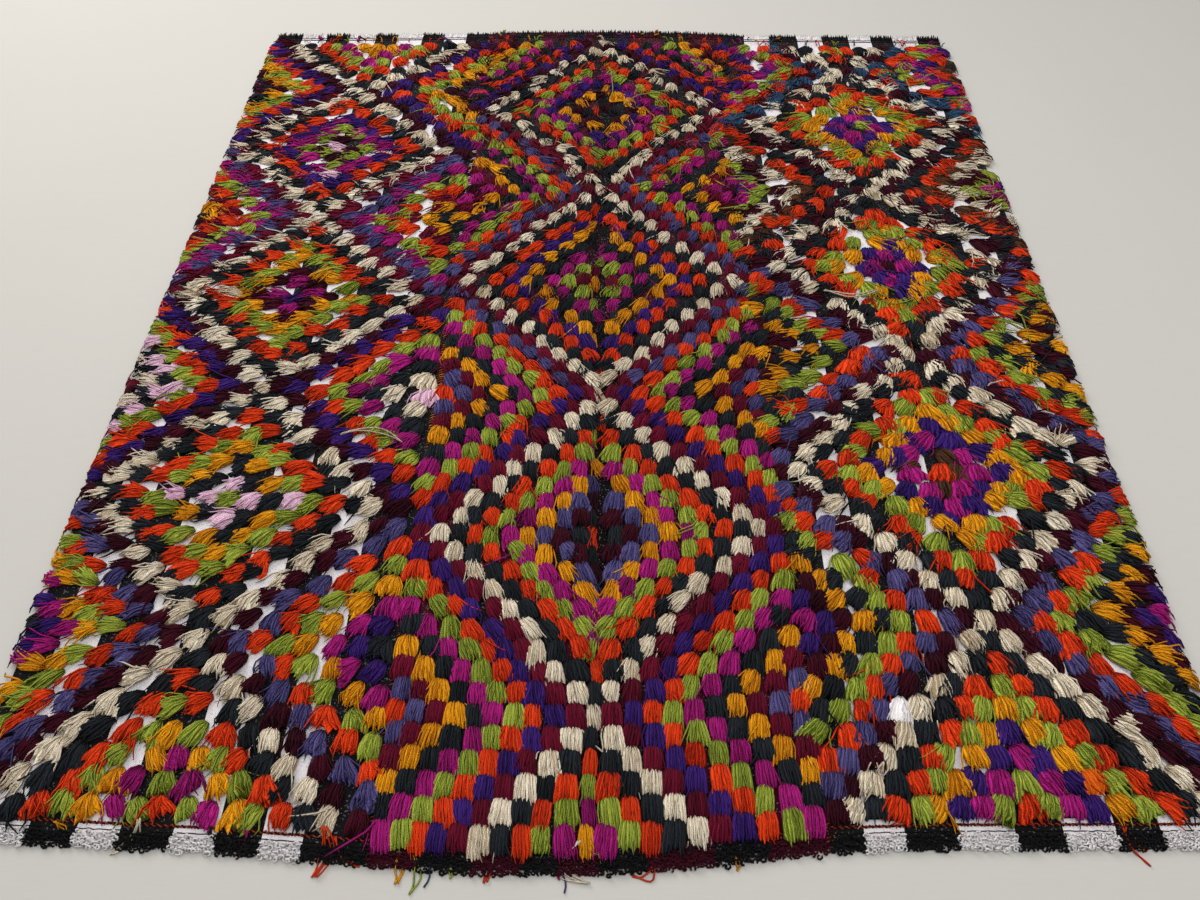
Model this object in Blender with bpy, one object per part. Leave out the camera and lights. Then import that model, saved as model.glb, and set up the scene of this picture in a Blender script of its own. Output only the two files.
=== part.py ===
"""Tulu rug: three strips of woven wool with a long pile, sewn side by side and laid flat.

Metres. +X runs across the rug, +Y along it to the far end, +Z up. The floor is z = 0 and every
solid rests on it. The origin is the middle of the rug's bounding box, on the floor.
"""

import math
import random
from collections import namedtuple

import bmesh
import bpy

# Edges of the strips across the rug: a selvage, two seams and the other selvage
LEFT_SELVAGE = -0.732
LEFT_SEAM = -0.2615
RIGHT_SEAM = 0.2465
RIGHT_SELVAGE = 0.7205

# The right strip widens to its far end: metres outwards for each metre along the rug
RIGHT_TAPER = 0.0175

# Air between two neighbouring pieces
GAP = 0.00032

# Outline of the two ends, fringe included, in millimetres: across the rug, along the rug
NEAR_END_MM = (
    (-760, -850),
    (-454, -862),
    (-261, -875),
    (-158, -882),
    (-10, -882),
    (89, -875),
    (247, -858),
    (385, -854),
    (760, -850),
)
FAR_END_MM = (
    (-760, 855),
    (-454, 858),
    (-261, 863),
    (-220, 869),
    (-10, 874),
    (180, 869),
    (247, 864),
    (300, 857),
    (760, 853),
)

# The cloth, its plain hem and the knotted ends of its warp
CLOTH_THICKNESS = 0.0034
PLAIN_HEM = 0.010
FRINGE_BAND = 0.0040
FRINGE_BAND_HEIGHT = 0.0045
FRINGE_LENGTH = 0.0140

# The pile: its height over the floor on the crest of a row of tufts and in the dip behind it
CREST = 0.0180
DIP = 0.0108
LUMP = 0.0034
LOWEST_PILE = 0.0050
SELVAGE_DROP = 0.0050
SEAM_DROP = 0.0030
PILE_BORDER = 0.0050
PILE_LINES = 54
CREST_LEAN = 0.30

# Columns of points across the side strips and across the middle one
SIDE_COLUMNS = 14
MIDDLE_COLUMNS = 16

# Creases of the laid rug, where the pile parts: one along the middle and two across
PARTING = -0.0130
PARTING_DEPTH = 0.0060
PARTING_WIDTH = 0.020
CROSS_CREASES = (
    (0.030, 0.0048, 0.024),
    (0.450, 0.0028, 0.030),
)

# Waves of the two selvages: amplitude, waves along the rug, phase
LEFT_WAVES = (
    (0.0040, 2.2, 0.4),
    (0.0018, 6.1, 1.9),
)
RIGHT_WAVES = (
    (0.0035, 1.7, 2.6),
    (0.0020, 5.3, 0.7),
)
HALF_LENGTH = 0.865

# Tufts that hang past a selvage and lie on the floor
LOCK_BAND = 0.0040
LOCK_BAND_HEIGHT = 0.0095
LOCK_SHORT = 0.008
LOCK_LONG = 0.020
LOCK_DROOP = 0.006
LOCK_SWAY = 0.004
LOCK_HALF_WIDTH_LOW = 0.0070
LOCK_HALF_WIDTH_HIGH = 0.0095
LOCK_MIDDLE_HEIGHT = 0.0080
LOCK_TIP_WIDTH = 0.0055
LOCK_TIP_HEIGHT = 0.0035

# Knotted warp ends
END_SWAY = 0.0012
END_TIP_WIDTH = 0.0080
END_TIP_HEIGHT = 0.0035
END_SHORT = 0.72

ROOT_SHARE = 0.64
SHORTEST_EDGE_WITH_LOCK = 0.020

WOOL = (0.42, 0.10, 0.08, 1.0)
WARP = (0.05, 0.04, 0.045, 1.0)

Strip = namedtuple("Strip", "place x_low x_high taper columns low_waves high_waves low_drop "
                            "high_drop parting_depth seed")
STRIPS = (
    Strip("left", LEFT_SELVAGE, LEFT_SEAM - GAP, 0.0, SIDE_COLUMNS, LEFT_WAVES, (),
          SELVAGE_DROP, SEAM_DROP, 0.0, 11),
    Strip("middle", LEFT_SEAM, RIGHT_SEAM, 0.0, MIDDLE_COLUMNS, (), (),
          SEAM_DROP, SEAM_DROP, PARTING_DEPTH, 23),
    Strip("right", RIGHT_SEAM + GAP, RIGHT_SELVAGE, RIGHT_TAPER, SIDE_COLUMNS, (), RIGHT_WAVES,
          SEAM_DROP, SELVAGE_DROP, 0.0, 37),
)


def clear_scene():
    for thing in list(bpy.data.objects):
        bpy.data.objects.remove(thing, do_unlink=True)


def between(table_mm, x):
    """Height of a polyline, given in millimetres, at one x in metres."""
    for (x_a, y_a), (x_b, y_b) in zip(table_mm, table_mm[1:]):
        if x * 1000 <= x_b:
            share = (x * 1000 - x_a) / (x_b - x_a)
            return (y_a + share * (y_b - y_a)) / 1000
    return table_mm[-1][1] / 1000


def cloth_near(x):
    return between(NEAR_END_MM, x) + FRINGE_LENGTH + FRINGE_BAND + GAP


def cloth_far(x):
    return between(FAR_END_MM, x) - FRINGE_LENGTH - FRINGE_BAND - GAP


def wave(waves, y):
    turn = math.pi * y / HALF_LENGTH
    return sum(height * math.sin(turn * count / 2 + phase) for height, count, phase in waves)


def pile_height(x, y, on_crest, noise, form):
    height = (CREST if on_crest else DIP) + noise.uniform(-LUMP, LUMP)
    for place, depth, width in CROSS_CREASES:
        height -= depth * math.exp(-((y - place) / width) ** 2)
    height -= form.parting_depth * math.exp(-((x - PARTING) / PARTING_WIDTH) ** 2)
    if x == form.x_low:
        height -= form.low_drop
    if x == form.x_high:
        height -= form.high_drop
    return max(height, LOWEST_PILE)


def strip_lines():
    """Lines across a strip, near to far: share of the pile's length, inset from an end, crest."""
    lines = [("near", 0.0, False), ("near", PLAIN_HEM, False)]
    for step in range(PILE_LINES + 1):
        on_crest = step % 2 == 0
        lean = CREST_LEAN if on_crest and 0 < step < PILE_LINES else 0.0
        lines.append(("pile", (step - lean) / PILE_LINES, on_crest))
    lines.append(("far", PLAIN_HEM, False))
    lines.append(("far", 0.0, False))
    return lines


def line_y(kind, value, x):
    near = cloth_near(x)
    far = cloth_far(x)
    if kind == "near":
        return near + value
    if kind == "far":
        return far - value
    inset = PLAIN_HEM + PILE_BORDER
    return near + inset + value * (far - near - 2 * inset)


def finish(name, points, faces, color):
    """One closed object from points and faces, its faces turned outwards."""
    mesh = bpy.data.meshes.new(name)
    mesh.from_pydata(points, [], faces)
    shell = bmesh.new()
    shell.from_mesh(mesh)
    bmesh.ops.recalc_face_normals(shell, faces=shell.faces)
    shell.to_mesh(mesh)
    shell.free()
    material = bpy.data.materials.new(name + "_wool")
    material.use_nodes = True
    shader = material.node_tree.nodes["Principled BSDF"]
    shader.inputs["Base Color"].default_value = color
    shader.inputs["Roughness"].default_value = 0.95
    mesh.materials.append(material)
    thing = bpy.data.objects.new(name, mesh)
    bpy.context.scene.collection.objects.link(thing)
    return thing


def strip(form):
    """A slab with a flat underside, hems at both ends and a lumpy pile; returns its four edges."""
    noise = random.Random(form.seed)
    columns = form.columns
    lines = strip_lines()
    top = []
    for kind, value, on_crest in lines:
        row = []
        for column in range(columns + 1):
            x = form.x_low + (form.x_high - form.x_low) * column / columns
            if column == columns:
                x = form.x_high
            y = line_y(kind, value, x)
            z = CLOTH_THICKNESS
            if kind == "pile":
                z = pile_height(x, y, on_crest, noise, form)
            x += form.taper * y * column / columns
            if column == 0:
                x += wave(form.low_waves, y)
            if column == columns:
                x += wave(form.high_waves, y)
            row.append((x, y, z))
        top.append(row)

    points = [point for row in top for point in row]
    width = columns + 1
    last = len(lines) - 1

    def upper(line, column):
        return line * width + column

    rim = [(0, column) for column in range(width)]
    rim += [(line, columns) for line in range(1, last + 1)]
    rim += [(last, column) for column in range(columns - 1, -1, -1)]
    rim += [(line, 0) for line in range(last - 1, 0, -1)]
    under = {}
    for line, column in rim:
        x, y, _ = top[line][column]
        under[line, column] = len(points)
        points.append((x, y, 0.0))

    faces = []
    for line in range(last):
        for column in range(columns):
            faces.append((upper(line, column), upper(line, column + 1),
                          upper(line + 1, column + 1), upper(line + 1, column)))
    for here, there in zip(rim, rim[1:] + rim[:1]):
        faces.append((upper(*here), under[here], under[there], upper(*there)))
    for line in range(last):
        low = [under[line, 0], under[line, columns]]
        high = [under[line + 1, columns], under[line + 1, 0]]
        if line == 0:
            low = [under[0, column] for column in range(width)]
        if line == last - 1:
            high = [under[last, column] for column in range(columns, -1, -1)]
        faces.append(tuple(low + high))
    finish("strip_" + form.place, points, faces, WOOL)

    return {
        "near": [row[:2] for row in top[0]],
        "far": [row[:2] for row in top[last]],
        "low": [row[0][:2] for row in top],
        "high": [row[-1][:2] for row in top],
    }


def ring(points, middle, along, half_width, height):
    """Four points of a lock's section, flat on the floor; returns their numbers."""
    first = len(points)
    left = (middle[0] - along[0] * half_width, middle[1] - along[1] * half_width)
    right = (middle[0] + along[0] * half_width, middle[1] + along[1] * half_width)
    points.append((left[0], left[1], 0.0))
    points.append((right[0], right[1], 0.0))
    points.append((right[0], right[1], height))
    points.append((left[0], left[1], height))
    return list(range(first, first + 4))


def comb(name, edge, outward, locks_each, band, height, shape, color, seed):
    """A narrow band beside a strip's edge with locks that lie outwards on the floor.

    The band follows the edge at GAP. Each stretch of edge carries locks_each locks, apart but
    for their roots. shape draws one lock's sections: reach, shift along the edge, half width
    and height.
    """
    noise = random.Random(seed)
    points = []
    stations = []
    grows = []
    for (x_a, y_a), (x_b, y_b) in zip(edge, edge[1:]):
        count = locks_each if math.hypot(x_b - x_a, y_b - y_a) > SHORTEST_EDGE_WITH_LOCK else 0
        shares = [0.0]
        kinds = [False]
        if count:
            shares = []
            kinds = []
            for lock in range(count):
                shares += [lock / count, (lock + ROOT_SHARE) / count]
                kinds += [True, False]
        for share, kind in zip(shares, kinds):
            stations.append((x_a + share * (x_b - x_a), y_a + share * (y_b - y_a)))
            grows.append(kind)
    stations.append(edge[-1])

    along = (abs(outward[1]), abs(outward[0]))
    numbers = []
    for x, y in stations:
        first = len(points)
        for reach in (GAP, GAP + band):
            for z in (0.0, height):
                points.append((x + outward[0] * reach, y + outward[1] * reach, z))
        numbers.append((first, first + 1, first + 2, first + 3))

    faces = [(numbers[0][0], numbers[0][1], numbers[0][3], numbers[0][2])]
    faces.append((numbers[-1][0], numbers[-1][1], numbers[-1][3], numbers[-1][2]))
    for index, kind in enumerate(grows):
        in_a, in_top_a, out_a, out_top_a = numbers[index]
        in_b, in_top_b, out_b, out_top_b = numbers[index + 1]
        faces.append((in_a, in_b, in_top_b, in_top_a))
        faces.append((in_top_a, in_top_b, out_top_b, out_top_a))
        faces.append((in_a, in_b, out_b, out_a))
        root = [out_a, out_b, out_top_b, out_top_a]
        if not kind:
            faces.append(tuple(root))
            continue
        root_a = points[out_a]
        root_b = points[out_b]
        forwards = (root_b[0] - root_a[0]) * along[0] + (root_b[1] - root_a[1]) * along[1] > 0
        root_middle = ((root_a[0] + root_b[0]) / 2, (root_a[1] + root_b[1]) / 2)
        for reach, shift, half_width, top in shape(noise):
            middle = (root_middle[0] + outward[0] * reach + along[0] * shift,
                      root_middle[1] + outward[1] * reach + along[1] * shift)
            section = ring(points, middle, along, half_width, top)
            if not forwards:
                section = [section[1], section[0], section[3], section[2]]
            for side in range(4):
                after = (side + 1) % 4
                faces.append((root[side], root[after], section[after], section[side]))
            root = section
        faces.append(tuple(root))
    return finish(name, points, faces, color)


def rim_lock(noise):
    """A tuft past the selvage: it bends down to the floor and trails to the near end."""
    length = noise.uniform(LOCK_SHORT, LOCK_LONG)
    shift = -LOCK_DROOP * length / LOCK_LONG + noise.uniform(-LOCK_SWAY, LOCK_SWAY)
    half = noise.uniform(LOCK_HALF_WIDTH_LOW, LOCK_HALF_WIDTH_HIGH)
    return (
        (length / 2, shift / 3, half, LOCK_MIDDLE_HEIGHT),
        (length, shift, LOCK_TIP_WIDTH / 2, LOCK_TIP_HEIGHT),
    )


def warp_end(noise):
    """A bundle of knotted warp ends."""
    length = FRINGE_LENGTH * noise.uniform(END_SHORT, 1.0)
    shift = noise.uniform(-END_SWAY, END_SWAY)
    return ((length, shift, END_TIP_WIDTH / 2, END_TIP_HEIGHT),)


def centre_on_floor():
    """Move all solids so that the bounding box is centred over the origin."""
    things = list(bpy.context.scene.collection.objects)
    spots = [vertex.co for thing in things for vertex in thing.data.vertices]
    shift_x = (min(spot.x for spot in spots) + max(spot.x for spot in spots)) / 2
    shift_y = (min(spot.y for spot in spots) + max(spot.y for spot in spots)) / 2
    for spot in spots:
        spot.x -= shift_x
        spot.y -= shift_y


def build():
    clear_scene()
    for form in STRIPS:
        edges = strip(form)
        comb("fringe_near_" + form.place, edges["near"], (0, -1), 2, FRINGE_BAND,
             FRINGE_BAND_HEIGHT, warp_end, WARP, form.seed + 1)
        comb("fringe_far_" + form.place, edges["far"], (0, 1), 2, FRINGE_BAND,
             FRINGE_BAND_HEIGHT, warp_end, WARP, form.seed + 2)
        if form.place == "left":
            comb("locks_left", edges["low"], (-1, 0), 1, LOCK_BAND,
                 LOCK_BAND_HEIGHT, rim_lock, WOOL, form.seed + 3)
        if form.place == "right":
            comb("locks_right", edges["high"], (1, 0), 1, LOCK_BAND,
                 LOCK_BAND_HEIGHT, rim_lock, WOOL, form.seed + 3)
    centre_on_floor()


build()
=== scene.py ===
"""Tulu rug on a pale floor: three striped wool cloths sewn side by side, with knotted tufts of
plied yarn in concentric lozenges. Metres, in the part's frame: +X across the rug, +Y to its far
end, +Z up."""

import math
from collections import defaultdict, namedtuple
from types import SimpleNamespace

import bpy
import numpy as np
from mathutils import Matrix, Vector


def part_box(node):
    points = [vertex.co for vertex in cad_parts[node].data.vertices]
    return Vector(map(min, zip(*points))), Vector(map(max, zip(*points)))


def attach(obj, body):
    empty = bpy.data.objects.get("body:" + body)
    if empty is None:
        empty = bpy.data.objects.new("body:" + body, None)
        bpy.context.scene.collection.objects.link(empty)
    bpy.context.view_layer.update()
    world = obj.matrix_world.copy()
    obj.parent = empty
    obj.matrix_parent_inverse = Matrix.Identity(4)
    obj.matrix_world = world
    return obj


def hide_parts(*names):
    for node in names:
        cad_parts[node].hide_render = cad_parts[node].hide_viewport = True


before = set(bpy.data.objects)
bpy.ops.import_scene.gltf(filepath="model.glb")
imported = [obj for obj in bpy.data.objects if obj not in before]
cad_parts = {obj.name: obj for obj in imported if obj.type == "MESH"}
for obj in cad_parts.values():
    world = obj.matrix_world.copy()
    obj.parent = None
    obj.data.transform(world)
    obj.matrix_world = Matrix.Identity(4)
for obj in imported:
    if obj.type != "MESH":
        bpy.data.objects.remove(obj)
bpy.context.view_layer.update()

# The rug's own measures, as in the solids. The right selvage strays out by RIGHT_TAPER for each
# metre towards the far end, and GAP parts the cloths at the seams. The tables give the ends of
# the fringe across the rug
LEFT_SELVAGE, LEFT_SEAM, RIGHT_SEAM, RIGHT_SELVAGE = -0.732, -0.2615, 0.2465, 0.7205
RIGHT_TAPER = 0.0175
GAP = 0.0004
NEAR_END_MM = ((-760, -850), (-454, -862), (-261, -875), (-158, -882), (-10, -882), (89, -875),
               (247, -858), (385, -854), (760, -850))
FAR_END_MM = ((-760, 855), (-454, 858), (-261, 863), (-220, 869), (-10, 874), (180, 869),
              (247, 864), (300, 857), (760, 853))
FRINGE = 0.0183
HALF_LENGTH = 0.865
# The plain hem beside the pile, how far the cloth reaches under its warp ends, and its thickness
PLAIN_HEM = 0.010
UNDER_ENDS = 0.0115
CLOTH = 0.0026
# Waves of the selvages: height, number along the rug, phase. They fade in over WAVY_BAND
WAVES = {
    "left": ((0.0040, 2.2, 0.4), (0.0018, 6.1, 1.9)),
    "middle": (),
    "right": ((0.0035, 1.7, 2.6), (0.0020, 5.3, 0.7)),
}
WAVY_BAND = (0.55, 0.74)
# Soft swells under the cloth, and the least that it lies over the floor
SWELL = 0.0016
LIFT = 0.0002
# Folds that press the pile: a parting along the middle strip, and creases across the rug
Crease = namedtuple("Crease", "y strength width")
PARTING = -0.0130
PARTING_BEGINS = (-0.62, -0.52)
PARTING_SHIFT = 0.0068
CREASES = (Crease(0.030, 1.0, 0.020), Crease(0.450, 0.6, 0.022))
CREASE_SHIFT = 0.0085
FOLD_WIDTH = 0.016
PARTING_PRESS, CREASE_PRESS = 0.55, 0.50
# From these measures to where the solids lie
SHIFT_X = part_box("strip_middle")[0][0] - LEFT_SEAM
SHIFT_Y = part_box("strip_middle")[0][1] - (NEAR_END_MM[3][1] / 1000 + FRINGE)

# Dyes, as sRGB from 0 to 255: the yarn in the light, and the darkest of it in its own shade
DYES = {
    "orange": ((244, 72, 24), (132, 22, 8)),
    "green": ((172, 184, 70), (76, 90, 20)),
    "magenta": ((188, 34, 132), (84, 8, 54)),
    "yellow": ((246, 170, 26), (148, 78, 6)),
    "cream": ((248, 236, 212), (156, 134, 104)),
    "charcoal": ((42, 47, 52), (9, 10, 12)),
    "wine": ((120, 18, 46), (52, 6, 20)),
    "maroon": ((74, 14, 32), (20, 3, 8)),
    "purple": ((70, 38, 124), (24, 10, 52)),
    "slate": ((94, 86, 138), (36, 31, 64)),
    "pink": ((240, 206, 222), (196, 140, 170)),
    "brown": ((98, 62, 42), (46, 28, 18)),
    "teal": ((56, 92, 124), (24, 44, 66)),
    "white": ((252, 248, 246), (236, 228, 228)),
    "amber": ((238, 112, 22), (178, 66, 10)),
    "black": ((26, 25, 27), (7, 6, 7)),
    "linen": ((242, 237, 238), (196, 187, 188)),
    "rust": ((212, 92, 40), (140, 44, 18)),
}
DYE_NAMES = list(DYES)

# The pattern: nested lozenges. Each has a middle row, the reach of its white ring, and the dyes
# from its middle out to RINGS, in which they all end. Zones say what follows past the white
# rings: from which row on, and the dyes outwards, some with others for the side of higher x
RINGS = "orange charcoal cream"
Strip = namedtuple("Strip", "name x_low x_high columns rows lozenges zones stripes_near_mm "
                            "stripes_far_mm stripe_dyes")
LEFT = Strip(
    "left", LEFT_SELVAGE, LEFT_SEAM - GAP, 17, 56,
    (
        (0, 7, "orange green magenta yellow green"),
        (14, 7, "green pink charcoal yellow green"),
        (28, 7, "purple magenta maroon yellow green"),
        (42, 7, "pink maroon green magenta purple"),
        (56, 7, "yellow yellow yellow magenta green"),
    ),
    (
        (0, "maroon slate orange green yellow magenta purple charcoal"),
        (14, "maroon purple orange green pink charcoal cream wine",
         "maroon purple orange green magenta charcoal cream pink"),
        (28, "wine slate magenta green orange wine yellow charcoal"),
        (42, "maroon purple orange green yellow maroon charcoal magenta"),
    ),
    (-696, -646, -592, -543, -483, -434, -383, -337),
    (-681, -627, -577, -518, -469, -414, -365, -316),
    "black linen",
)
MIDDLE = Strip(
    "middle", LEFT_SEAM, RIGHT_SEAM, 21, 60,
    (
        (-4, 9, "orange orange orange orange yellow magenta green"),
        (14, 9, "orange charcoal maroon slate yellow magenta green"),
        (32, 9, "yellow wine green magenta charcoal yellow purple"),
        (50, 9, "orange charcoal maroon yellow purple magenta green"),
    ),
    (
        (0, "wine purple orange green magenta charcoal yellow wine slate orange"),
        (24, "wine slate orange green magenta charcoal yellow wine slate orange"),
        (32, "wine slate orange green magenta charcoal yellow wine magenta maroon"),
        (50, "maroon purple orange charcoal magenta green yellow maroon orange maroon"),
    ),
    (-207, -148, -94, -54, -10, 44, 118, 178),
    (-207, -148, -94, -54, -10, 44, 118, 178),
    "maroon black",
)
RIGHT = Strip(
    "right", RIGHT_SEAM + GAP, RIGHT_SELVAGE, 19, 56,
    (
        (0, 8, "orange green magenta purple yellow green"),
        (16, 8, "orange brown magenta purple yellow green"),
        (31, 7, "maroon magenta purple yellow green"),
        (45, 7, "green magenta purple yellow green"),
        (59, 7, "orange orange orange orange green"),
    ),
    (
        (0, "maroon slate orange green charcoal yellow maroon purple magenta"),
        (16, "maroon slate orange green charcoal yellow maroon charcoal yellow"),
        (31, "maroon charcoal orange brown cream maroon green magenta purple"),
        (45, "maroon teal orange green magenta purple orange brown charcoal"),
    ),
    (286, 331, 390, 454, 508, 567, 617, 671),
    (301, 357, 419, 474, 533, 582, 631, 686),
    "black linen",
)
STRIPS = (LEFT, MIDDLE, RIGHT)

# Single tufts that leave the rule, by strip, column from the middle, and row
ODD_TUFTS = {
    ("right", -5, 4): "white",
    ("right", 3, 1): "amber",
    ("left", 0, 39): "pink",
    ("left", -3, 14): "pink",
    ("left", 3, 14): "pink",
    ("left", -4, 28): "cream",
    ("middle", 0, 59): "cream",
    ("middle", 0, 58): "cream",
}

# How the pile leans, in degrees from the near end towards +X. First the places across, in metres,
# then for each place along the rug, the lean at them: left strip, middle strip, right strip
LEAN_ACROSS = (-0.720, -0.612, -0.503, -0.395, -0.286, -0.237, -0.128, -0.024,
               -0.002, 0.109, 0.222, 0.271, 0.375, 0.493, 0.612, 0.710)
LEAN = (
    (-0.839, (0, 0, 0, 0, 0), (0, 0, 0, 0, 0, 0), (-10, -5, 0, 10, 40)),
    (-0.770, (-25, -10, 0, 0, 0), (-5, 0, 0, 0, 0, 5), (-10, -5, 10, 40, 50)),
    (-0.671, (-72, -58, -35, -15, -5), (-5, 0, 0, 0, 0, 0), (-15, -10, 10, 40, 70)),
    (-0.572, (-85, -65, -50, -40, -30), (18, 35, 22, -22, -38, -18), (-25, -15, 15, 50, 80)),
    (-0.474, (-86, -75, -62, -55, -40), (5, 18, 10, -10, -18, -10), (-30, -15, 5, 45, 85)),
    (-0.355, (-88, -84, -72, -62, -45), (-12, -14, -6, 6, 14, 6), (-45, -35, 0, 55, 82)),
    (-0.257, (-88, -86, -77, -62, -45), (15, 25, 20, -20, -25, -15), (-60, -58, 0, 58, 80)),
    (-0.158, (-88, -86, -77, -62, -45), (28, 40, 32, -32, -40, -26), (-58, -58, -5, 62, 85)),
    (-0.030, (-88, -86, -78, -65, -42), (0, 5, 5, -5, -5, -5), (-55, -55, -8, 62, 86)),
    (0.118, (-88, -86, -80, -62, -52), (-36, -40, -26, -10, -18, -20), (-50, -48, -5, 60, 85)),
    (0.237, (-88, -86, -78, -52, -66), (-36, -42, -30, -12, -25, -25), (-30, -35, 0, 72, 86)),
    (0.355, (-88, -86, -78, -58, -62), (20, 36, 30, -10, -25, -20), (-60, -52, 0, 76, 90)),
    (0.434, (-88, -85, -82, -72, -40), (32, 44, 36, -10, -20, -15), (-80, -68, 0, 72, 90)),
    (0.612, (-88, -82, -60, 30, 48), (-30, -38, -25, 5, 15, 10), (-50, -52, 10, 82, 86)),
    (0.760, (-80, -62, -20, 48, 42), (-20, -15, -5, 5, 15, 15), (-30, -30, 10, 70, 72)),
    (0.819, (-60, -40, 0, 30, 20), (-15, -10, 0, 0, 10, 15), (-10, -10, 0, 40, 60)),
)

# A tuft: plied yarns side by side from one knot, as one ribbed body, and looser ones over it.
# Stations along it: share of its length, of its half width where the pile lies in order and
# where it is tousled, of its height, of its relief, and a loose yarn's radius in millimetres
RIBS = 6
LOOSE_STRANDS = 5
STATIONS = (
    (0.00, 0.34, 0.30, 0.20, 0.5, 1.0),
    (0.18, 0.84, 0.74, 0.84, 1.0, 1.35),
    (0.46, 0.98, 0.95, 1.00, 1.0, 1.45),
    (0.77, 1.01, 1.04, 0.84, 1.0, 1.35),
    (1.00, 0.97, 0.90, 0.42, 0.9, 0.55),
)
YARN_SIDES = 3
TUFT_LENGTH = {"left": 0.0350, "middle": 0.0395, "right": 0.0350}
TUFT_HEIGHT = 0.0108
RELIEF = 0.0018
LOWEST_YARN = 0.0006
# Half a tuft's width as a share of the columns' pitch, and how much more it opens where its
# neighbours lean apart by the second of two angles
TUFT_HALF_WIDTH = {"left": 0.51, "middle": 0.52, "right": 0.60}
OPENING = {"left": 0.40, "middle": 0.40, "right": 0.62}
LEANS_APART = (10, 55)
# On the right strip such tufts are also rooted closer together, by up to this much
ROOTED_CLOSER = 0.0105
# Roots of the first and the last row, from the pile's border
FIRST_ROOT = {"left": 0.0330, "middle": 0.0280, "right": 0.0330}
LAST_ROOT = {"left": 0.0195, "middle": 0.0230, "right": 0.0235}
# How far a strip's middle column strays across, in millimetres, at places along the rug
MIDDLE_COLUMN_MM = {
    "left": ((-860, -9), (-630, -9), (-210, -13), (220, -6), (640, -11), (860, -11)),
    "middle": ((-860, -19), (-700, -10), (-500, -6), (860, -5)),
    "right": ((-860, -3), (860, 1)),
}
# Along the rug the pile goes from full to flattened. Pairs hold a value for each: the lean's
# spread in degrees, and how far roots stray. The near end of a strip may lie in better order,
# which fades out between two places
FLATTENING = (-0.30, 0.20)
LEAN_SPREAD = {"left": (16, 18), "middle": (17, 25), "right": (24, 30)}
STRAY = (0.0024, 0.0036)
NEAR_ORDER = {"left": 0.0, "middle": 0.8, "right": 0.5}
ORDERLY_END = (0.35, 0.75)
# The outermost tufts: how far their roots are set in, within a band beside the selvage, where
# they grow longer and more ragged, how far they may hang past it at the near and far end, and
# over what width they come down to the floor
SET_IN = 0.008
SET_IN_BAND = 0.06
RAGGED_BAND = (0.54, 0.68)
PAST_LEFT = (0.016, 0.014)
PAST_RIGHT = (0.026, 0.013)
HANG = 0.030
# One turn of a yarn's plies, a loose yarn's radius, the cloth's ribs, and its mesh's divisions
PLY_LENGTH = 0.0056
LOOSE_RADIUS = 0.00125
WARP_RIBS, WEFT_RIBS = 0.0030, 0.0018
STRIPE_PARTS = 3
SHEET_LINES = 44


def ramp(value, start, end):
    """A share that rises from 0 at the start to 1 at the end."""
    return np.clip((value - start) / (end - start), 0, 1)


def bell(offset, width):
    """A share that falls from 1 at no offset to little beyond the width."""
    return np.exp(-(offset / width) ** 2)


def mixed(pair, share):
    """A value between two, or two rows of them."""
    return pair[0] + (pair[1] - pair[0]) * share


def cube(values):
    """One value for each tuft, shaped to meet its stations and ribs."""
    return np.reshape(values, (-1, 1, 1))


def across_table(table_mm, x):
    """A value between those of a table in millimetres."""
    places = np.array(table_mm, float) / 1000
    return np.interp(x, places[:, 0], places[:, 1])


def cloth_near(x):
    return across_table(NEAR_END_MM, x) + FRINGE


def cloth_far(x):
    return across_table(FAR_END_MM, x) - FRINGE


def wave(strip, y):
    """How far a strip's selvage waves across."""
    return sum(h * np.sin(math.pi * y / HALF_LENGTH * n / 2 + p) for h, n, p in WAVES[strip.name])


def ground(x, y):
    """Height of the cloth's underside: it lies flat with soft swells, and touches along folds."""
    swell = 0.5 + 0.25 * np.sin(9.0 * x + 4.0 * y + 0.6) + 0.25 * np.sin(7.0 * y - 5.0 * x + 2.0)
    raised = 1 - bell(y - CREASES[0].y, CREASES[0].width)
    raised = raised * (1 - 0.7 * bell(x - PARTING, 0.018))
    raised = raised * (1 - CREASES[1].strength * bell(y - CREASES[1].y, CREASES[1].width))
    return SWELL * swell * raised + LIFT


def taper(strip, x, y):
    """How far the right strip's taper moves a place across: most at its selvage."""
    if strip.name != "right":
        return 0.0 * y
    return RIGHT_TAPER * y * (x - strip.x_low) / (strip.x_high - strip.x_low)


def dye_of(strip, column, row):
    """The dye of a tuft: its own, or by its place in a lozenge or past the white rings."""
    if (strip.name, column, row) in ODD_TUFTS:
        return ODD_TUFTS[strip.name, column, row]
    reaches = [(abs(column) + abs(row - middle) - white, inside)
               for middle, white, inside in strip.lozenges]
    reach, inside = min(reaches, key=lambda pair: pair[0])
    if reach <= 0:
        return [*inside.split(), *RINGS.split()][reach - 1]
    zone = [dyes for first_row, *dyes in strip.zones if first_row <= row][-1]
    dyes = zone[-1 if column > 0 else 0].split()
    return dyes[min(reach, len(dyes)) - 1]


def tube_rings(paths, radii):
    """Rings of points round many paths at once, one corner of each ring on top."""
    tangent = np.gradient(paths, axis=1)
    tangent /= np.linalg.norm(tangent, axis=2, keepdims=True) + 1e-12
    side = np.cross(tangent, np.array([0, 0, 1.0]))
    length = np.linalg.norm(side, axis=2, keepdims=True)
    side = np.where(length > 0.05, side / np.maximum(length, 1e-9), np.array([1.0, 0, 0]))
    over = np.cross(side, tangent)
    angle = np.arange(YARN_SIDES)[:, None] * 2 * math.pi / YARN_SIDES + math.pi / 2
    return paths[:, :, None] + radii[:, :, None, None] * (
        np.cos(angle) * side[:, :, None] + np.sin(angle) * over[:, :, None])


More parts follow.
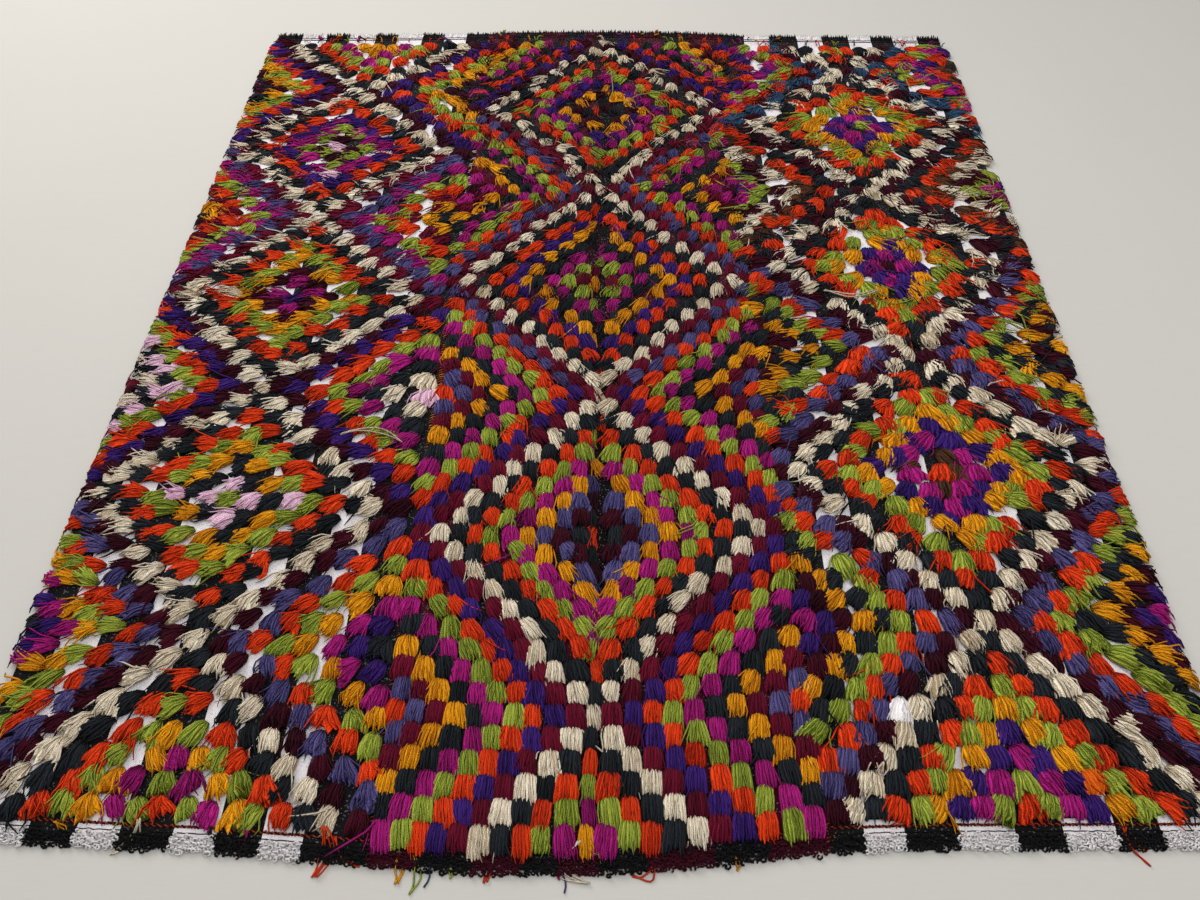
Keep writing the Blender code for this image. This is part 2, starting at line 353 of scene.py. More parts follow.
def strands(paths, radii, dye, tone, shaded=False):
    """A batch of plied yarns as tubes: the radii are one for all, or one for each point."""
    count, steps = paths.shape[:2]
    # The lower sides of each tube are marked for painted shade
    low = 0.5 - 0.5 * np.cos(np.arange(YARN_SIDES) * 2 * math.pi / YARN_SIDES)
    return {
        "rings": tube_rings(paths, np.broadcast_to(radii, (count, steps))),
        "around": np.arange(YARN_SIDES + 1) / YARN_SIDES,
        "hollow": np.broadcast_to(low, (count, steps, YARN_SIDES)),
        "along": np.linspace(0, 1, steps) if shaded else np.full(steps, 0.5),
        "dye": np.broadcast_to(dye, count),
        "tone": np.broadcast_to(np.reshape(tone, (-1, 1)), (count, YARN_SIDES)),
        "weight": YARN_SIDES * steps,
        "ribbed": False,
    }


def add_object(name, data):
    """Puts a mesh, light or camera into the scene."""
    added = bpy.data.objects.new(name, data)
    bpy.context.scene.collection.objects.link(added)
    return added


def add_piece(name, mesh, material, replaced):
    """Adds a mesh as a piece of the rug."""
    mesh.materials.append(material)
    piece = add_object(name, mesh)
    piece.location = (SHIFT_X, SHIFT_Y, 0)
    bpy.context.view_layer.update()
    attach(piece, "root")
    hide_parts(*replaced)
    return piece


def loft_corners(steps, sides):
    """The step and the turn of each corner of a loft's quads."""
    k = np.repeat(np.arange(steps - 1), sides)
    j = np.tile(np.arange(sides), steps - 1)
    return [np.stack(c, axis=-1).ravel() for c in ((k, k, k + 1, k + 1), (j, j + 1, j + 1, j))]


def loft_faces(count, steps, sides):
    """The faces of some lofts, with a cap at both ends: corners, sizes, and which are smooth."""
    step_of, turn_of = loft_corners(steps, sides)
    ring = np.arange(sides)
    corners = [step_of * sides + turn_of % sides, ring[::-1], (steps - 1) * sides + ring]
    corners = np.concatenate(corners) + np.arange(count)[:, None] * steps * sides
    quads = (steps - 1) * sides
    sizes = np.array([4] * quads + [sides] * 2)
    smooth = np.arange(quads + 2) < quads
    return corners.ravel(), np.tile(sizes, count), np.tile(smooth, count)


def loft_maps(batch, share, band):
    """UVs of some lofts: down and round each yarn, and own places in one band of the bake."""
    count, steps, sides = batch["rings"].shape[:3]
    step_of, turn_of = loft_corners(steps, sides)
    ring = np.arange(sides)
    run = np.linalg.norm(np.diff(batch["rings"].mean(axis=2), axis=1), axis=2)
    run = np.concatenate([np.zeros((count, 1)), np.cumsum(run, axis=1)], axis=1)
    u = run[:, np.concatenate([step_of, 0 * ring, 0 * ring + steps - 1])]
    v = batch["around"][np.concatenate([turn_of, ring[::-1], ring])]
    yarn = np.stack([u, np.broadcast_to(v, u.shape)], -1)

    # Each loft has a cell of the bake: its quads at the left, and its caps as discs at the right
    across = max(1, round(math.sqrt(count / share)))
    index = np.arange(count)[:, None]
    angle = ring * 2 * math.pi / sides
    disc_u, disc_v = 0.955 + 0.035 * np.cos(angle), 0.5 + 0.42 * np.sin(angle)
    u = np.concatenate([0.02 + 0.88 * step_of / (steps - 1), disc_u, disc_u])
    v = np.concatenate([0.04 + 0.92 * turn_of / sides, 0.5 * disc_v, 0.5 + 0.5 * disc_v])
    u = (index % across + u) / across
    v = band + share * (index // across + v) / math.ceil(count / across)
    return yarn, np.stack([u, v], -1)


def loft_piece(name, batches, material, replaced):
    """One mesh of many closed lofts: quads between the rings, and a flat cap at each end."""
    columns = defaultdict(list)
    weights = [batch["weight"] * len(batch["rings"]) for batch in batches]
    offset = band = 0
    for batch, weight in zip(batches, weights):
        count, steps, sides = batch["rings"].shape[:3]
        each = steps * sides
        share = weight / sum(weights)
        corners, sizes, smooth = loft_faces(count, steps, sides)
        yarn, bake = loft_maps(batch, share, band)
        grooves = batch["ribbed"] & (np.arange(each) % sides % 2 == 0)
        for key, values in (
            ("spots", batch["rings"].reshape(-1, 3)),
            ("corners", corners + offset),
            ("sizes", sizes),
            ("smooth", smooth),
            ("Yarn", yarn.reshape(-1, 2)),
            ("OFBake", bake.reshape(-1, 2)),
            ("dye", np.repeat(batch["dye"], each)),
            ("tone", np.repeat(batch["tone"][:, None], steps, axis=1).ravel()),
            ("along", np.tile(np.repeat(batch["along"], sides), count)),
            ("hollow", batch["hollow"].ravel()),
            ("grooves", np.tile(grooves, count)),
        ):
            columns[key].append(values)
        offset += count * each
        band += share

    table = {key: np.concatenate(value) for key, value in columns.items()}
    starts = np.cumsum(table["sizes"]) - table["sizes"]
    mesh = bpy.data.meshes.new(name)
    mesh.vertices.add(len(table["spots"]))
    mesh.vertices.foreach_set("co", table["spots"].astype(np.float32).ravel())
    mesh.loops.add(len(table["corners"]))
    mesh.loops.foreach_set("vertex_index", table["corners"].astype(np.int32))
    mesh.polygons.add(len(starts))
    mesh.polygons.foreach_set("loop_start", starts.astype(np.int32))
    mesh.polygons.foreach_set("use_smooth", table["smooth"])
    for key in ("Yarn", "OFBake"):
        layer = mesh.uv_layers.new(name=key)
        layer.data.foreach_set("uv", table[key].astype(np.float32).ravel())
    mesh.uv_layers["OFBake"].active_render = True
    for key in ("dye", "tone", "along", "hollow"):
        attribute = mesh.attributes.new(key, "FLOAT", "POINT")
        attribute.data.foreach_set("value", table[key].astype(np.float32))
    mesh.update(calc_edges=True)
    pairs = np.empty(len(mesh.edges) * 2, np.int32)
    mesh.edges.foreach_get("vertices", pairs)
    sharp = table["grooves"][pairs].reshape(-1, 2).all(axis=1)
    mesh.edges.foreach_set("use_edge_sharp", sharp)
    mesh.update()
    return add_piece(name, mesh, material, replaced)


def linear(color):
    """sRGB from 0 to 255 as linear light, with full alpha."""
    shares = [c / 255 for c in color]
    light = [c / 12.92 if c <= 0.04045 else ((c + 0.055) / 1.055) ** 2.4 for c in shares]
    return (*light, 1.0)


class Tree:
    """Short words for building a material's nodes."""

    def __init__(self, name):
        self.material = bpy.data.materials.new(name)
        self.material.use_nodes = True
        self.nodes = self.material.node_tree.nodes
        self.links = self.material.node_tree.links
        self.shader = self.nodes["Principled BSDF"]

    def add(self, kind, **settings):
        node = self.nodes.new(kind)
        for key, value in settings.items():
            setattr(node, key, value)
        return node

    def join(self, value, socket):
        """Gives a socket a plain value, or links an output to it."""
        if isinstance(value, (int, float, tuple)):
            socket.default_value = value
        else:
            self.links.new(value, socket)

    def math(self, operation, a, b=0.0, clamp=False):
        node = self.add("ShaderNodeMath", operation=operation, use_clamp=clamp)
        self.join(a, node.inputs[0])
        self.join(b, node.inputs[1])
        return node.outputs[0]

    def shade(self, *shares):
        """The sum of some shares of dark, held between 0 and 1."""
        total = shares[0]
        for share in shares[1:-1]:
            total = self.math("ADD", total, share)
        return self.math("ADD", total, shares[-1], clamp=True)

    def mix(self, share, a, b):
        node = self.add("ShaderNodeMix", data_type="RGBA")
        for value, place in ((share, 0), (a, 6), (b, 7)):
            self.join(value, node.inputs[place])
        return node.outputs[2]

    def span(self, value, low, high, to_low, to_high):
        node = self.add("ShaderNodeMapRange")
        for number, socket in zip((value, low, high, to_low, to_high), node.inputs):
            self.join(number, socket)
        return node.outputs[0]

    def split(self, vector):
        """The first two parts of a vector."""
        node = self.add("ShaderNodeSeparateXYZ")
        self.join(vector, node.inputs[0])
        return node.outputs[:2]

    def attribute(self, name):
        return self.add("ShaderNodeAttribute", attribute_name=name).outputs["Fac"]

    def dyes(self, shade, source):
        """Colour of the dye whose number is in source: shade 0 in the light, 1 in the dark."""
        node = self.add("ShaderNodeValToRGB")
        node.color_ramp.interpolation = "CONSTANT"
        stops = node.color_ramp.elements
        for index, name in enumerate(DYE_NAMES):
            place = index / len(DYE_NAMES)
            stop = stops[index] if index < 2 else stops.new(place)
            stop.position = place
            stop.color = linear(DYES[name][shade])
        self.join(source, node.inputs[0])
        return node.outputs[0]

    def noise(self, scale, detail=2.0, stretch=None):
        place = self.add("ShaderNodeTexCoord").outputs["Object"]
        if stretch:
            mapping = self.add("ShaderNodeMapping")
            self.join(stretch, mapping.inputs["Scale"])
            self.join(place, mapping.inputs[0])
            place = mapping.outputs[0]
        node = self.add("ShaderNodeTexNoise")
        for value, key in ((scale, "Scale"), (detail, "Detail"), (place, "Vector")):
            self.join(value, node.inputs[key])
        return node.outputs["Fac"]

    def finish(self, color, height, roughness, sheen, strength, distance):
        """Joins a colour and a bump to the shader."""
        bump = self.add("ShaderNodeBump")
        for value, key in ((strength, "Strength"), (distance, "Distance"), (height, "Height")):
            self.join(value, bump.inputs[key])
        for value, key in (
            (color, "Base Color"),
            (roughness, "Roughness"),
            (0.06, "Specular IOR Level"),
            (sheen, "Sheen Weight"),
            (0.45, "Sheen Roughness"),
            (bump.outputs[0], "Normal"),
        ):
            self.join(value, self.shader.inputs[key])
        return self.material


def yarn_material():
    """Plied wool: plies wind round each strand, tones differ by strand, and painted shade darkens
    the roots, the tips, the grooves between plies and strands, and the hollows.
    """
    tree = Tree("plied_wool")
    dye = tree.attribute("dye")
    along = tree.attribute("along")
    down, around = tree.split(tree.add("ShaderNodeUVMap", uv_map="Yarn").outputs[0])
    turns = tree.math("ADD", tree.math("MULTIPLY", down, 1 / PLY_LENGTH), around)
    ply = tree.math("SINE", tree.math("MULTIPLY", turns, 4 * math.pi))
    winding = tree.math("MULTIPLY", tree.noise(105.0, 1.5), 2.2)
    strand = tree.math("ADD", tree.math("MULTIPLY", around, 4.0), winding)
    strand = tree.math("SINE", tree.math("MULTIPLY", strand, 2 * math.pi))
    dark = tree.shade(
        tree.span(tree.attribute("tone"), 0.0, 1.0, 0.62, -0.08),
        # Painted shade in the grooves between plies and in the gaps between strands
        tree.span(ply, -1, 1, 0.10, -0.06),
        tree.span(strand, -1, 0.6, 0.42, -0.10),
        tree.span(tree.noise(620.0, 2.0), 0.3, 0.7, 0.14, -0.14),
        # Painted shade at the roots and under the tips
        tree.span(along, 0.0, 0.25, 0.55, 0.0),
        tree.span(along, 0.86, 1.0, 0.0, 0.22),
        # Painted shade on the lower sides of tubes and in the grooves between ribs
        tree.span(tree.attribute("hollow"), 0.0, 1.0, -0.08, 0.55))
    color = tree.mix(dark, tree.dyes(0, dye), tree.dyes(1, dye))
    height = tree.math("ADD", tree.math("MULTIPLY", ply, 0.35), strand)
    return tree.finish(color, height, roughness=0.92, sheen=0.02, strength=0.8, distance=0.0006)


def cloth_material():
    """Plain-woven striped cloth: warp and weft ribs with painted shade between them, grey flecks,
    and painted shade in the parting.
    """
    tree = Tree("striped_cloth")
    x, y = tree.split(tree.add("ShaderNodeTexCoord").outputs["Object"])
    warp = tree.math("SINE", tree.math("MULTIPLY", x, 2 * math.pi / WARP_RIBS))
    weft = tree.math("SINE", tree.math("MULTIPLY", y, 2 * math.pi / WEFT_RIBS))
    weave = tree.math("MULTIPLY", warp, weft)
    # Painted shade in the parting, between the tall tufts
    off_parting = tree.math("ABSOLUTE", tree.math("SUBTRACT", x, PARTING))
    dark = tree.shade(
        # Painted shade in the hollows of the weave
        tree.span(weave, -1, 1, 0.55, 0.10),
        tree.span(tree.noise(900.0, 3.0), 0.3, 0.7, 0.2, -0.2),
        tree.span(tree.noise(16.0, 2.0), 0.3, 0.7, 0.15, -0.15),
        tree.span(off_parting, 0.010, 0.026, 0.7, 0.0))
    dye = tree.attribute("dye")
    color = tree.mix(dark, tree.dyes(0, dye), tree.dyes(1, dye))
    fleck = tree.span(tree.noise(420.0, 1.0), 0.64, 0.70, 0.0, 0.45)
    color = tree.mix(fleck, color, linear((150, 143, 143)))
    return tree.finish(color, weave, roughness=0.92, sheen=0.03, strength=0.6, distance=0.0007)


YARN = yarn_material()
WOVEN = cloth_material()


def dye_number(name):
    """The number that stands for a dye in a mesh: the middle of its part of the colour ramps."""
    return (DYE_NAMES.index(name) + 0.5) / len(DYE_NAMES)


def lean_at(x, y):
    """The lean at places of the rug, between those of the table."""
    levels = np.array([level[0] for level in LEAN])
    by_level = np.array([np.interp(x, LEAN_ACROSS, left + middle + right)
                         for _, left, middle, right in LEAN])
    spot = np.clip(np.interp(y, levels, np.arange(len(levels))), 0, len(levels) - 1.001)
    low = spot.astype(int)
    share = spot - low
    pick = np.arange(len(x))
    return by_level[low, pick] * (1 - share) + by_level[low + 1, pick] * share


def rooted_tufts(strip, rows, rng):
    """Where the tufts of some rows are knotted, how they lean and how big they are."""
    half = strip.columns // 2
    spots = [(column, row) for row in rows for column in range(-half, half + 1)]
    column, row = np.array(spots, float).T
    count = len(spots)
    pitch = (strip.x_high - strip.x_low) / strip.columns
    x = (strip.x_low + strip.x_high) / 2 + column * pitch
    near = cloth_near(x) + PLAIN_HEM + FIRST_ROOT[strip.name]
    far = cloth_far(x) - PLAIN_HEM - LAST_ROOT[strip.name]
    y = near + (far - near) * row / (strip.rows - 1)
    x = x + taper(strip, x, y)
    x = x + across_table(MIDDLE_COLUMN_MM[strip.name], y) * (1 - (column / (half + 0.5)) ** 2)
    x = x + wave(strip, y) * ramp(np.abs(x), *WAVY_BAND)

    order = ramp(-y, *ORDERLY_END) * NEAR_ORDER[strip.name]
    if strip.name == "middle":
        order = np.maximum(order, np.clip(0.45 - 0.6 * y, 0.15, 0.45))
    mess = 1 - order
    flattened = ramp(y, *FLATTENING)
    lean = lean_at(x, y)
    apart = ramp(lean_at(x + pitch, y) - lean_at(x - pitch, y), *LEANS_APART)
    lean = lean + rng.normal(0, 1, count) * mixed(LEAN_SPREAD[strip.name], flattened) * mess
    if strip.name != "middle":
        selvage = LEFT_SELVAGE if strip.name == "left" else RIGHT_SELVAGE + RIGHT_TAPER * y
        x = x - np.sign(x) * SET_IN * np.clip(1 - np.abs(selvage - x) / SET_IN_BAND, 0, 1)
    stray = mixed(STRAY, flattened) * mess
    x = x + rng.normal(0, 1, count) * stray
    y = y + rng.normal(0, 1, count) * stray

    # Folds push the roots aside and press the tufts down
    pressed = np.zeros(count)
    if strip.name == "middle":
        fold = bell(x - PARTING, FOLD_WIDTH) * ramp(y, *PARTING_BEGINS)
        x = x + np.sign(x - PARTING) * PARTING_SHIFT * fold
        pressed = PARTING_PRESS * fold
    for crease in CREASES:
        fold = crease.strength * bell(y - crease.y, FOLD_WIDTH)
        y = y + np.sign(y - crease.y) * CREASE_SHIFT * fold
        pressed = pressed + CREASE_PRESS * fold
    if strip.name == "right":
        x = x - ROOTED_CLOSER * apart * np.sin(np.radians(lean_at(x, y)))
    angle = np.radians(lean)

    length = TUFT_LENGTH[strip.name] * rng.uniform(0.90, 1.10, count)
    half_width = pitch * TUFT_HALF_WIDTH[strip.name] * rng.uniform(0.90, 1.10, count)
    tousled = ramp(mess, 0.2, 0.7)
    edge = ramp(np.abs(x), *RAGGED_BAND)
    if strip.name == "middle":
        # The parting's own column is narrow, and its neighbours fill up
        beside = 0.35 * bell(np.abs(column) - 1, 0.5)
        length = length * (1 - 0.08 * flattened)
        half_width = half_width * (1 - 0.12 * flattened) * (1 - 0.36 * (bell(column, 0.6) - beside))
    else:
        # Tufts that lie across the rug are long and slim, and those at the near end less full
        sideways = np.abs(np.sin(angle)) * tousled
        full_at_least = 0.7 if strip.name == "right" else 0
        fuller = 1 + 0.11 * np.maximum(ramp(y, -0.6, -0.3), full_at_least)
        length = length * (1 + 0.12 * sideways) * fuller * (1 + 0.12 * edge)
        half_width = half_width * (1 - 0.18 * sideways) * fuller * (1 - 0.06 * edge)
        length = np.where(row == 0, length * 0.86, length)
    height = TUFT_HEIGHT * rng.uniform(0.85, 1.12, count) * (1 - pressed) * (1 - 0.40 * flattened)
    return SimpleNamespace(
        x=x, y=y, length=length, height=height, mess=mess, tousled=tousled, pressed=pressed,
        half_width=half_width * (1 + OPENING[strip.name] * apart),
        spiky=np.maximum(mess * (0.35 + 0.65 * flattened), 0.8 * edge),
        ahead=(np.sin(angle), -np.cos(angle)), aside=(np.cos(angle), np.sin(angle)),
        dye=np.array([dye_number(dye_of(strip, c, r)) for c, r in spots]))


def placed(tufts, reach, sideways, z):
    """A tuft's points on the rug. Those past a selvage are held back, and hang to the floor."""
    x = cube(tufts.x) + cube(tufts.ahead[0]) * reach + cube(tufts.aside[0]) * sideways
    y = cube(tufts.y) + cube(tufts.ahead[1]) * reach + cube(tufts.aside[1]) * sideways
    past = np.maximum(np.maximum(x - RIGHT_SELVAGE - RIGHT_TAPER * y, LEFT_SELVAGE - x), 0)
    along = ramp(y, -HALF_LENGTH, HALF_LENGTH)
    limit = np.where(x < 0, mixed(PAST_LEFT, along), mixed(PAST_RIGHT, along))
    x = x - np.sign(x) * (past - limit * (1 - np.exp(-past / limit)))
    drop = np.clip(past / HANG, 0, 1)
    on_cloth = cube(ground(tufts.x, tufts.y)) + CLOTH + z
    return np.stack([x, y, on_cloth * (1 - drop) + (0.0012 + 0.45 * z) * drop], -1)


def tuft_bodies(tufts, rng):
    """Each tuft's yarns side by side from one knot: ribs, with a groove at both sides of each."""
    share, orderly, loosely, high, deep, _ = np.array(STATIONS).T
    count, steps, ring = len(tufts.x), len(share), 2 * RIBS + 1
    across = np.linspace(-1, 1, ring)
    mess = cube(tufts.mess)
    spread = across * np.ones((count, steps, 1))
    wander = rng.normal(0, 0.085, (count, steps, RIBS)) * share[:, None] ** 0.5
    wander = wander + rng.normal(0, 0.040, (count, 1, RIBS))
    spread[:, :, 1::2] += (wander * (0.55 + mess).clip(0, 1.4)).clip(-0.15, 0.15)
    spread[:, :, 2:-1:2] = (spread[:, :, 1:-2:2] + spread[:, :, 3::2]) / 2

    # Each rib has its own length, and the grooves between them end sooner
    ragged = (0.035 + 0.04 * tufts.mess + 0.08 * tufts.spiky)[:, None]
    own_length = (1 + ragged * rng.normal(0, 1, (count, RIBS))).clip(0.70, 1.25)
    tips = np.empty((count, ring))
    tips[:, 1::2] = own_length
    tips[:, 2:-1:2] = np.minimum(own_length[:, :-1], own_length[:, 1:]) - ragged * 1.3
    tips[:, [0, -1]] = own_length[:, [0, -1]] - 0.10
    tips = tips * (1 - 0.05 * across ** 2)
    reach = share[:, None] + (tips[:, None] - 1) * share[:, None] ** 3
    reach = cube(tufts.length * (1 - 0.10 * tufts.spiky)) * reach

    # The tuft bends to a side, and spreads or closes like a fan
    unruly = 0.3 + mess
    tufts.bend = rng.normal(0, 0.0034, (count, 1, 1)) * share ** 2 * unruly
    splay = rng.normal(0.0, 0.14, (count, 1, 1)) * unruly
    splay = splay + 0.45 * (rng.random((count, 1, 1)) < 0.22 * unruly) * unruly
    wide = orderly + cube(tufts.tousled) * (loosely - orderly)
    tufts.fan = wide * (1 + splay * (share - 0.3)) * cube(tufts.half_width)
    sideways = spread * np.swapaxes(tufts.fan, 1, 2) + np.swapaxes(tufts.bend, 1, 2)

    arch = 1 - (0.40 + 0.20 * cube(tufts.tousled)) * np.abs(spread) ** 3.6
    z = cube(tufts.height) * high[:, None] * arch
    z = z + np.where(np.arange(ring) % 2 == 1, 0.5, -0.5) * RELIEF * deep[:, None]
    z[:, :, 1::2] += (rng.normal(0, 0.0004, (count, 1, RIBS))
                      + rng.normal(0, 0.0008, (count, steps, RIBS)) * share[:, None])

    rib_tone = rng.normal(0.60, 0.14, (count, 1)) + rng.normal(0, 0.20, (count, RIBS))
    # Pressed tufts at the parting and the creases are darker: painted shade in the folds
    rib_tone = np.clip(rib_tone - 0.8 * tufts.pressed[:, None], 0, 1)
    tufts.tone = rib_tone.mean(axis=1)
    tone = np.empty((count, ring))
    tone[:, 1::2] = rib_tone
    tone[:, 2:-1:2] = (rib_tone[:, :-1] + rib_tone[:, 1:]) / 2
    tone[:, [0, -1]] = rib_tone[:, [0, -1]]
    return {
        "rings": placed(tufts, reach, -sideways, np.maximum(z, LOWEST_YARN)),
        "around": np.arange(ring + 1) * 0.25,
        # The grooves between ribs are marked for painted shade
        "hollow": np.broadcast_to(np.arange(ring) % 2 == 0, (count, steps, ring)).astype(float),
        "along": share,
        "dye": tufts.dye,
        "tone": tone,
        "weight": 4 * ring * steps // 3,
        "ribbed": True,
    }


def loose_strands(tufts, rng):
    """Looser yarns over each tuft's body: a few are wild, and some stand up at ragged places."""
    share, _, _, high, _, thick = np.array(STATIONS).T
    shape = (len(tufts.x), LOOSE_STRANDS)
    mess, spiky = tufts.mess[:, None], tufts.spiky[:, None]
    over = np.linspace(-0.92, 0.92, LOOSE_STRANDS) + rng.normal(0, 0.13, shape)
    wild = rng.random(shape) < 0.08 * (0.2 + mess)
    swing = rng.normal(0, 1, shape) * np.where(wild, 0.45, 0.06 + 0.05 * mess + 0.12 * spiky)
    longer = rng.uniform(0.88, 1.12, shape) + 0.14 * spiky * rng.random(shape)
    longer = longer * np.where(wild, rng.uniform(1.0, 1.12, shape), 1)
    reach = cube(tufts.length) * longer[..., None] * share
    sideways = over[..., None] * tufts.fan + tufts.bend + swing[..., None] * reach * share
    winding = 2 * math.pi * (share * 2.1 + rng.random(shape)[..., None])
    loosened = np.minimum(share * 3, 1) * (0.5 + 0.7 * cube(tufts.mess))
    sideways = sideways + (rng.normal(0, 0.0010, reach.shape) + 0.0013 * np.sin(winding)) * loosened
    z = cube(tufts.height) * high * (1 - 0.62 * np.abs(over[..., None]).clip(0, 1) ** 2.4)
    z = z + 0.0011 + (0.0006 * np.cos(winding) + rng.normal(0, 0.0004, z.shape)) * loosened
    z = z + (rng.random(shape) ** 2 * 0.0055 * spiky)[..., None] * share ** 2
    paths = placed(tufts, reach, sideways, np.maximum(z, LOWEST_YARN)).reshape(-1, len(share), 3)
    radii = thick / 1000 * rng.uniform(0.88, 1.12, (len(paths), 1))
    # The loose yarns are a touch lighter than the body under them: painted shade on the body below
    tone = np.repeat(tufts.tone, LOOSE_STRANDS) + 0.08 + rng.normal(0, 0.15, len(paths))
    dye = np.repeat(tufts.dye, LOOSE_STRANDS)
    return strands(paths, radii, dye, np.clip(tone, 0, 1), shaded=True)


def tuft_batches(strip, rows, rng):
    """The tufts of some rows of a strip."""
    tufts = rooted_tufts(strip, rows, rng)
    return [tuft_bodies(tufts, rng), loose_strands(tufts, rng)]


def stripe_columns(strip, stripes_mm):
    """Places across a strip's cloth, some to each stripe."""
    edges = [strip.x_low, *(np.array(stripes_mm) / 1000), strip.x_high]
    parts = [np.linspace(a, b, STRIPE_PARTS, endpoint=False) for a, b in zip(edges, edges[1:])]
    return np.concatenate([*parts, [strip.x_high]])


def cloth_sheet(strip):
    """A thin striped sheet with soft swells: a closed mesh with a column at each stripe's edge."""
    share = np.linspace(0, 1, SHEET_LINES)[:, None]
    ends = [stripe_columns(strip, s) for s in (strip.stripes_near_mm, strip.stripes_far_mm)]
    x = mixed(ends, share)
    y = mixed((cloth_near(x) - UNDER_ENDS, cloth_far(x) + UNDER_ENDS), share)
    if strip.name == "left":
        x[:, 0] += wave(strip, y[:, 0])
    if strip.name == "right":
        x[:, -1] += RIGHT_TAPER * y[:, -1] + wave(strip, y[:, -1])
    under = ground(x, y)
    spots = np.stack([np.stack([x, y, z], -1) for z in (under + CLOTH, under)])
    lines, columns = x.shape
    half = lines * columns
    names = strip.stripe_dyes.split()
    dye_at = [dye_number(names[(column // STRIPE_PARTS) % 2]) for column in range(columns - 1)]
    faces, dyes = [], []
    for line in range(lines - 1):
        for column, dye in enumerate(dye_at):
            a = line * columns + column
            quad = (a, a + 1, a + columns + 1, a + columns)
            faces += [quad, tuple(half + v for v in reversed(quad))]
            dyes += [dye, dye]
    grid = np.arange(half).reshape(lines, columns)
    rim = np.concatenate([grid[0], grid[1:, -1], grid[-1, -2::-1], grid[-2:0:-1, 0]]).tolist()
    for here, there in zip(rim, rim[1:] + rim[:1]):
        faces.append((here, half + here, half + there, there))
        dyes.append(dye_at[min(here % columns, there % columns, columns - 2)])
    mesh = bpy.data.meshes.new("cloth_" + strip.name)
    mesh.from_pydata(spots.reshape(-1, 3).tolist(), [], faces)
    attribute = mesh.attributes.new("dye", "FLOAT", "FACE")
    attribute.data.foreach_set("value", np.array(dyes, np.float32))
    mesh.update()
    return add_piece("cloth_" + strip.name, mesh, WOVEN, ["strip_" + strip.name])


def width_at_end(strip, near):
    """The two edges of a strip at one of its ends."""
    y = -HALF_LENGTH if near else HALF_LENGTH
    return strip.x_low, strip.x_high + float(taper(strip, strip.x_high, y))


def stripe_dye(strip, x, near):
    """Dyes of the warp ends: that of the cloth's stripe at each place, or white at a linen one."""
    edges = np.array(strip.stripes_near_mm if near else strip.stripes_far_mm) / 1000
    names = strip.stripe_dyes.replace("linen", "white").split()
    return np.array([dye_number(names[n % 2]) for n in np.searchsorted(edges, x)])


def warp_places(strip, near, pitch, margin, rng):
    """Places across one end of a strip, one in each pitch, as a column."""
    x_low, x_high = width_at_end(strip, near)
    count = int((x_high - x_low) / pitch)
    return x_low + (np.arange(count)[:, None] + rng.uniform(margin, 1 - margin, (count, 1))) * pitch


def near_loops(strip, rng):
    """Knotted warp ends at the near end: small curled loops, close together and four deep."""
    pitch, row_step, radius = 0.0034, 0.0042, 0.00135
    batches = []
    for depth in range(4):
        x = warp_places(strip, True, pitch, 0.2, rng)
        y = cloth_near(x) - 0.0020 - row_step * depth + rng.normal(0, 0.0014, x.shape)
        size = rng.uniform(0.0018, 0.0030, x.shape)
        turn = np.linspace(0, 1.6 * math.pi, 6) + rng.uniform(0, 2 * math.pi, x.shape)
        steep = rng.uniform(0.2, 1.3, x.shape)
        rise = size * np.sin(turn)
        z = 0.0034 + 0.00048 * (3 - depth) + rise * np.sin(steep)
        z = np.maximum(z + rng.uniform(-0.0006, 0.0020, x.shape), 0.0016)
        paths = np.stack([x + size * np.cos(turn), y + rise * np.cos(steep), z], -1)
        radii = radius * rng.uniform(0.85, 1.2, x.shape)
        tone = rng.uniform(0.8, 1.1, len(x))
        batches.append(strands(paths, radii, stripe_dye(strip, x[:, 0], True), tone))
    return batches


def far_ends(strip, rng):
    """Warp ends at the far end: straight pointed bundles, close together, tips a little up."""
    pitch, taper_of_radius = 0.0016, np.array([0.0013, 0.0015, 0.0013, 0.0006])
    x = warp_places(strip, False, pitch, 0.1, rng)
    t = np.linspace(0, 1, 4)
    py = cloth_far(x) - 0.001 + rng.uniform(0.012, 0.0195, x.shape) * t
    px = x + rng.normal(0, 0.0016, x.shape) * t
    z = 0.0022 + rng.uniform(0, 0.0026, x.shape) * (0.3 + t) + rng.uniform(0, 0.0022, x.shape) * t
    radii = taper_of_radius * rng.uniform(0.85, 1.25, x.shape)
    tone = rng.uniform(0.4, 1.0, len(x))
    return [strands(np.stack([px, py, z], -1), radii, stripe_dye(strip, x[:, 0], False), tone)]


def hem_line(strip, near, inwards, step, margin, rng):
    """Points across a strip beside one of its ends, short of its edges by a margin."""
    x_low, x_high = width_at_end(strip, near)
    x = np.linspace(x_low + margin, x_high - margin, int((x_high - x_low) / step))
    y = cloth_near(x) + inwards if near else cloth_far(x) - inwards
    return x, y + rng.normal(0, 0.0003, len(x))


def twined_line(strip, near, rng):
    """Two threads wound round each other along the pile's border."""
    x, y = hem_line(strip, near, PLAIN_HEM, 0.0018, 0.001, rng)
    turn = 0.0076
    radius = 0.0011 if near else 0.0007
    batches = []
    for start, dye in ((0.0, "rust" if near else "maroon"), (math.pi, "maroon")):
        phase = 2 * math.pi * x / turn + start
        z = ground(x, y) + CLOTH + radius * (0.9 + np.sin(phase))
        path = np.stack([x, y + radius * np.cos(phase), z], -1)
        batches.append(strands(path[None], radius, dye_number(dye), 0.5))
    return batches


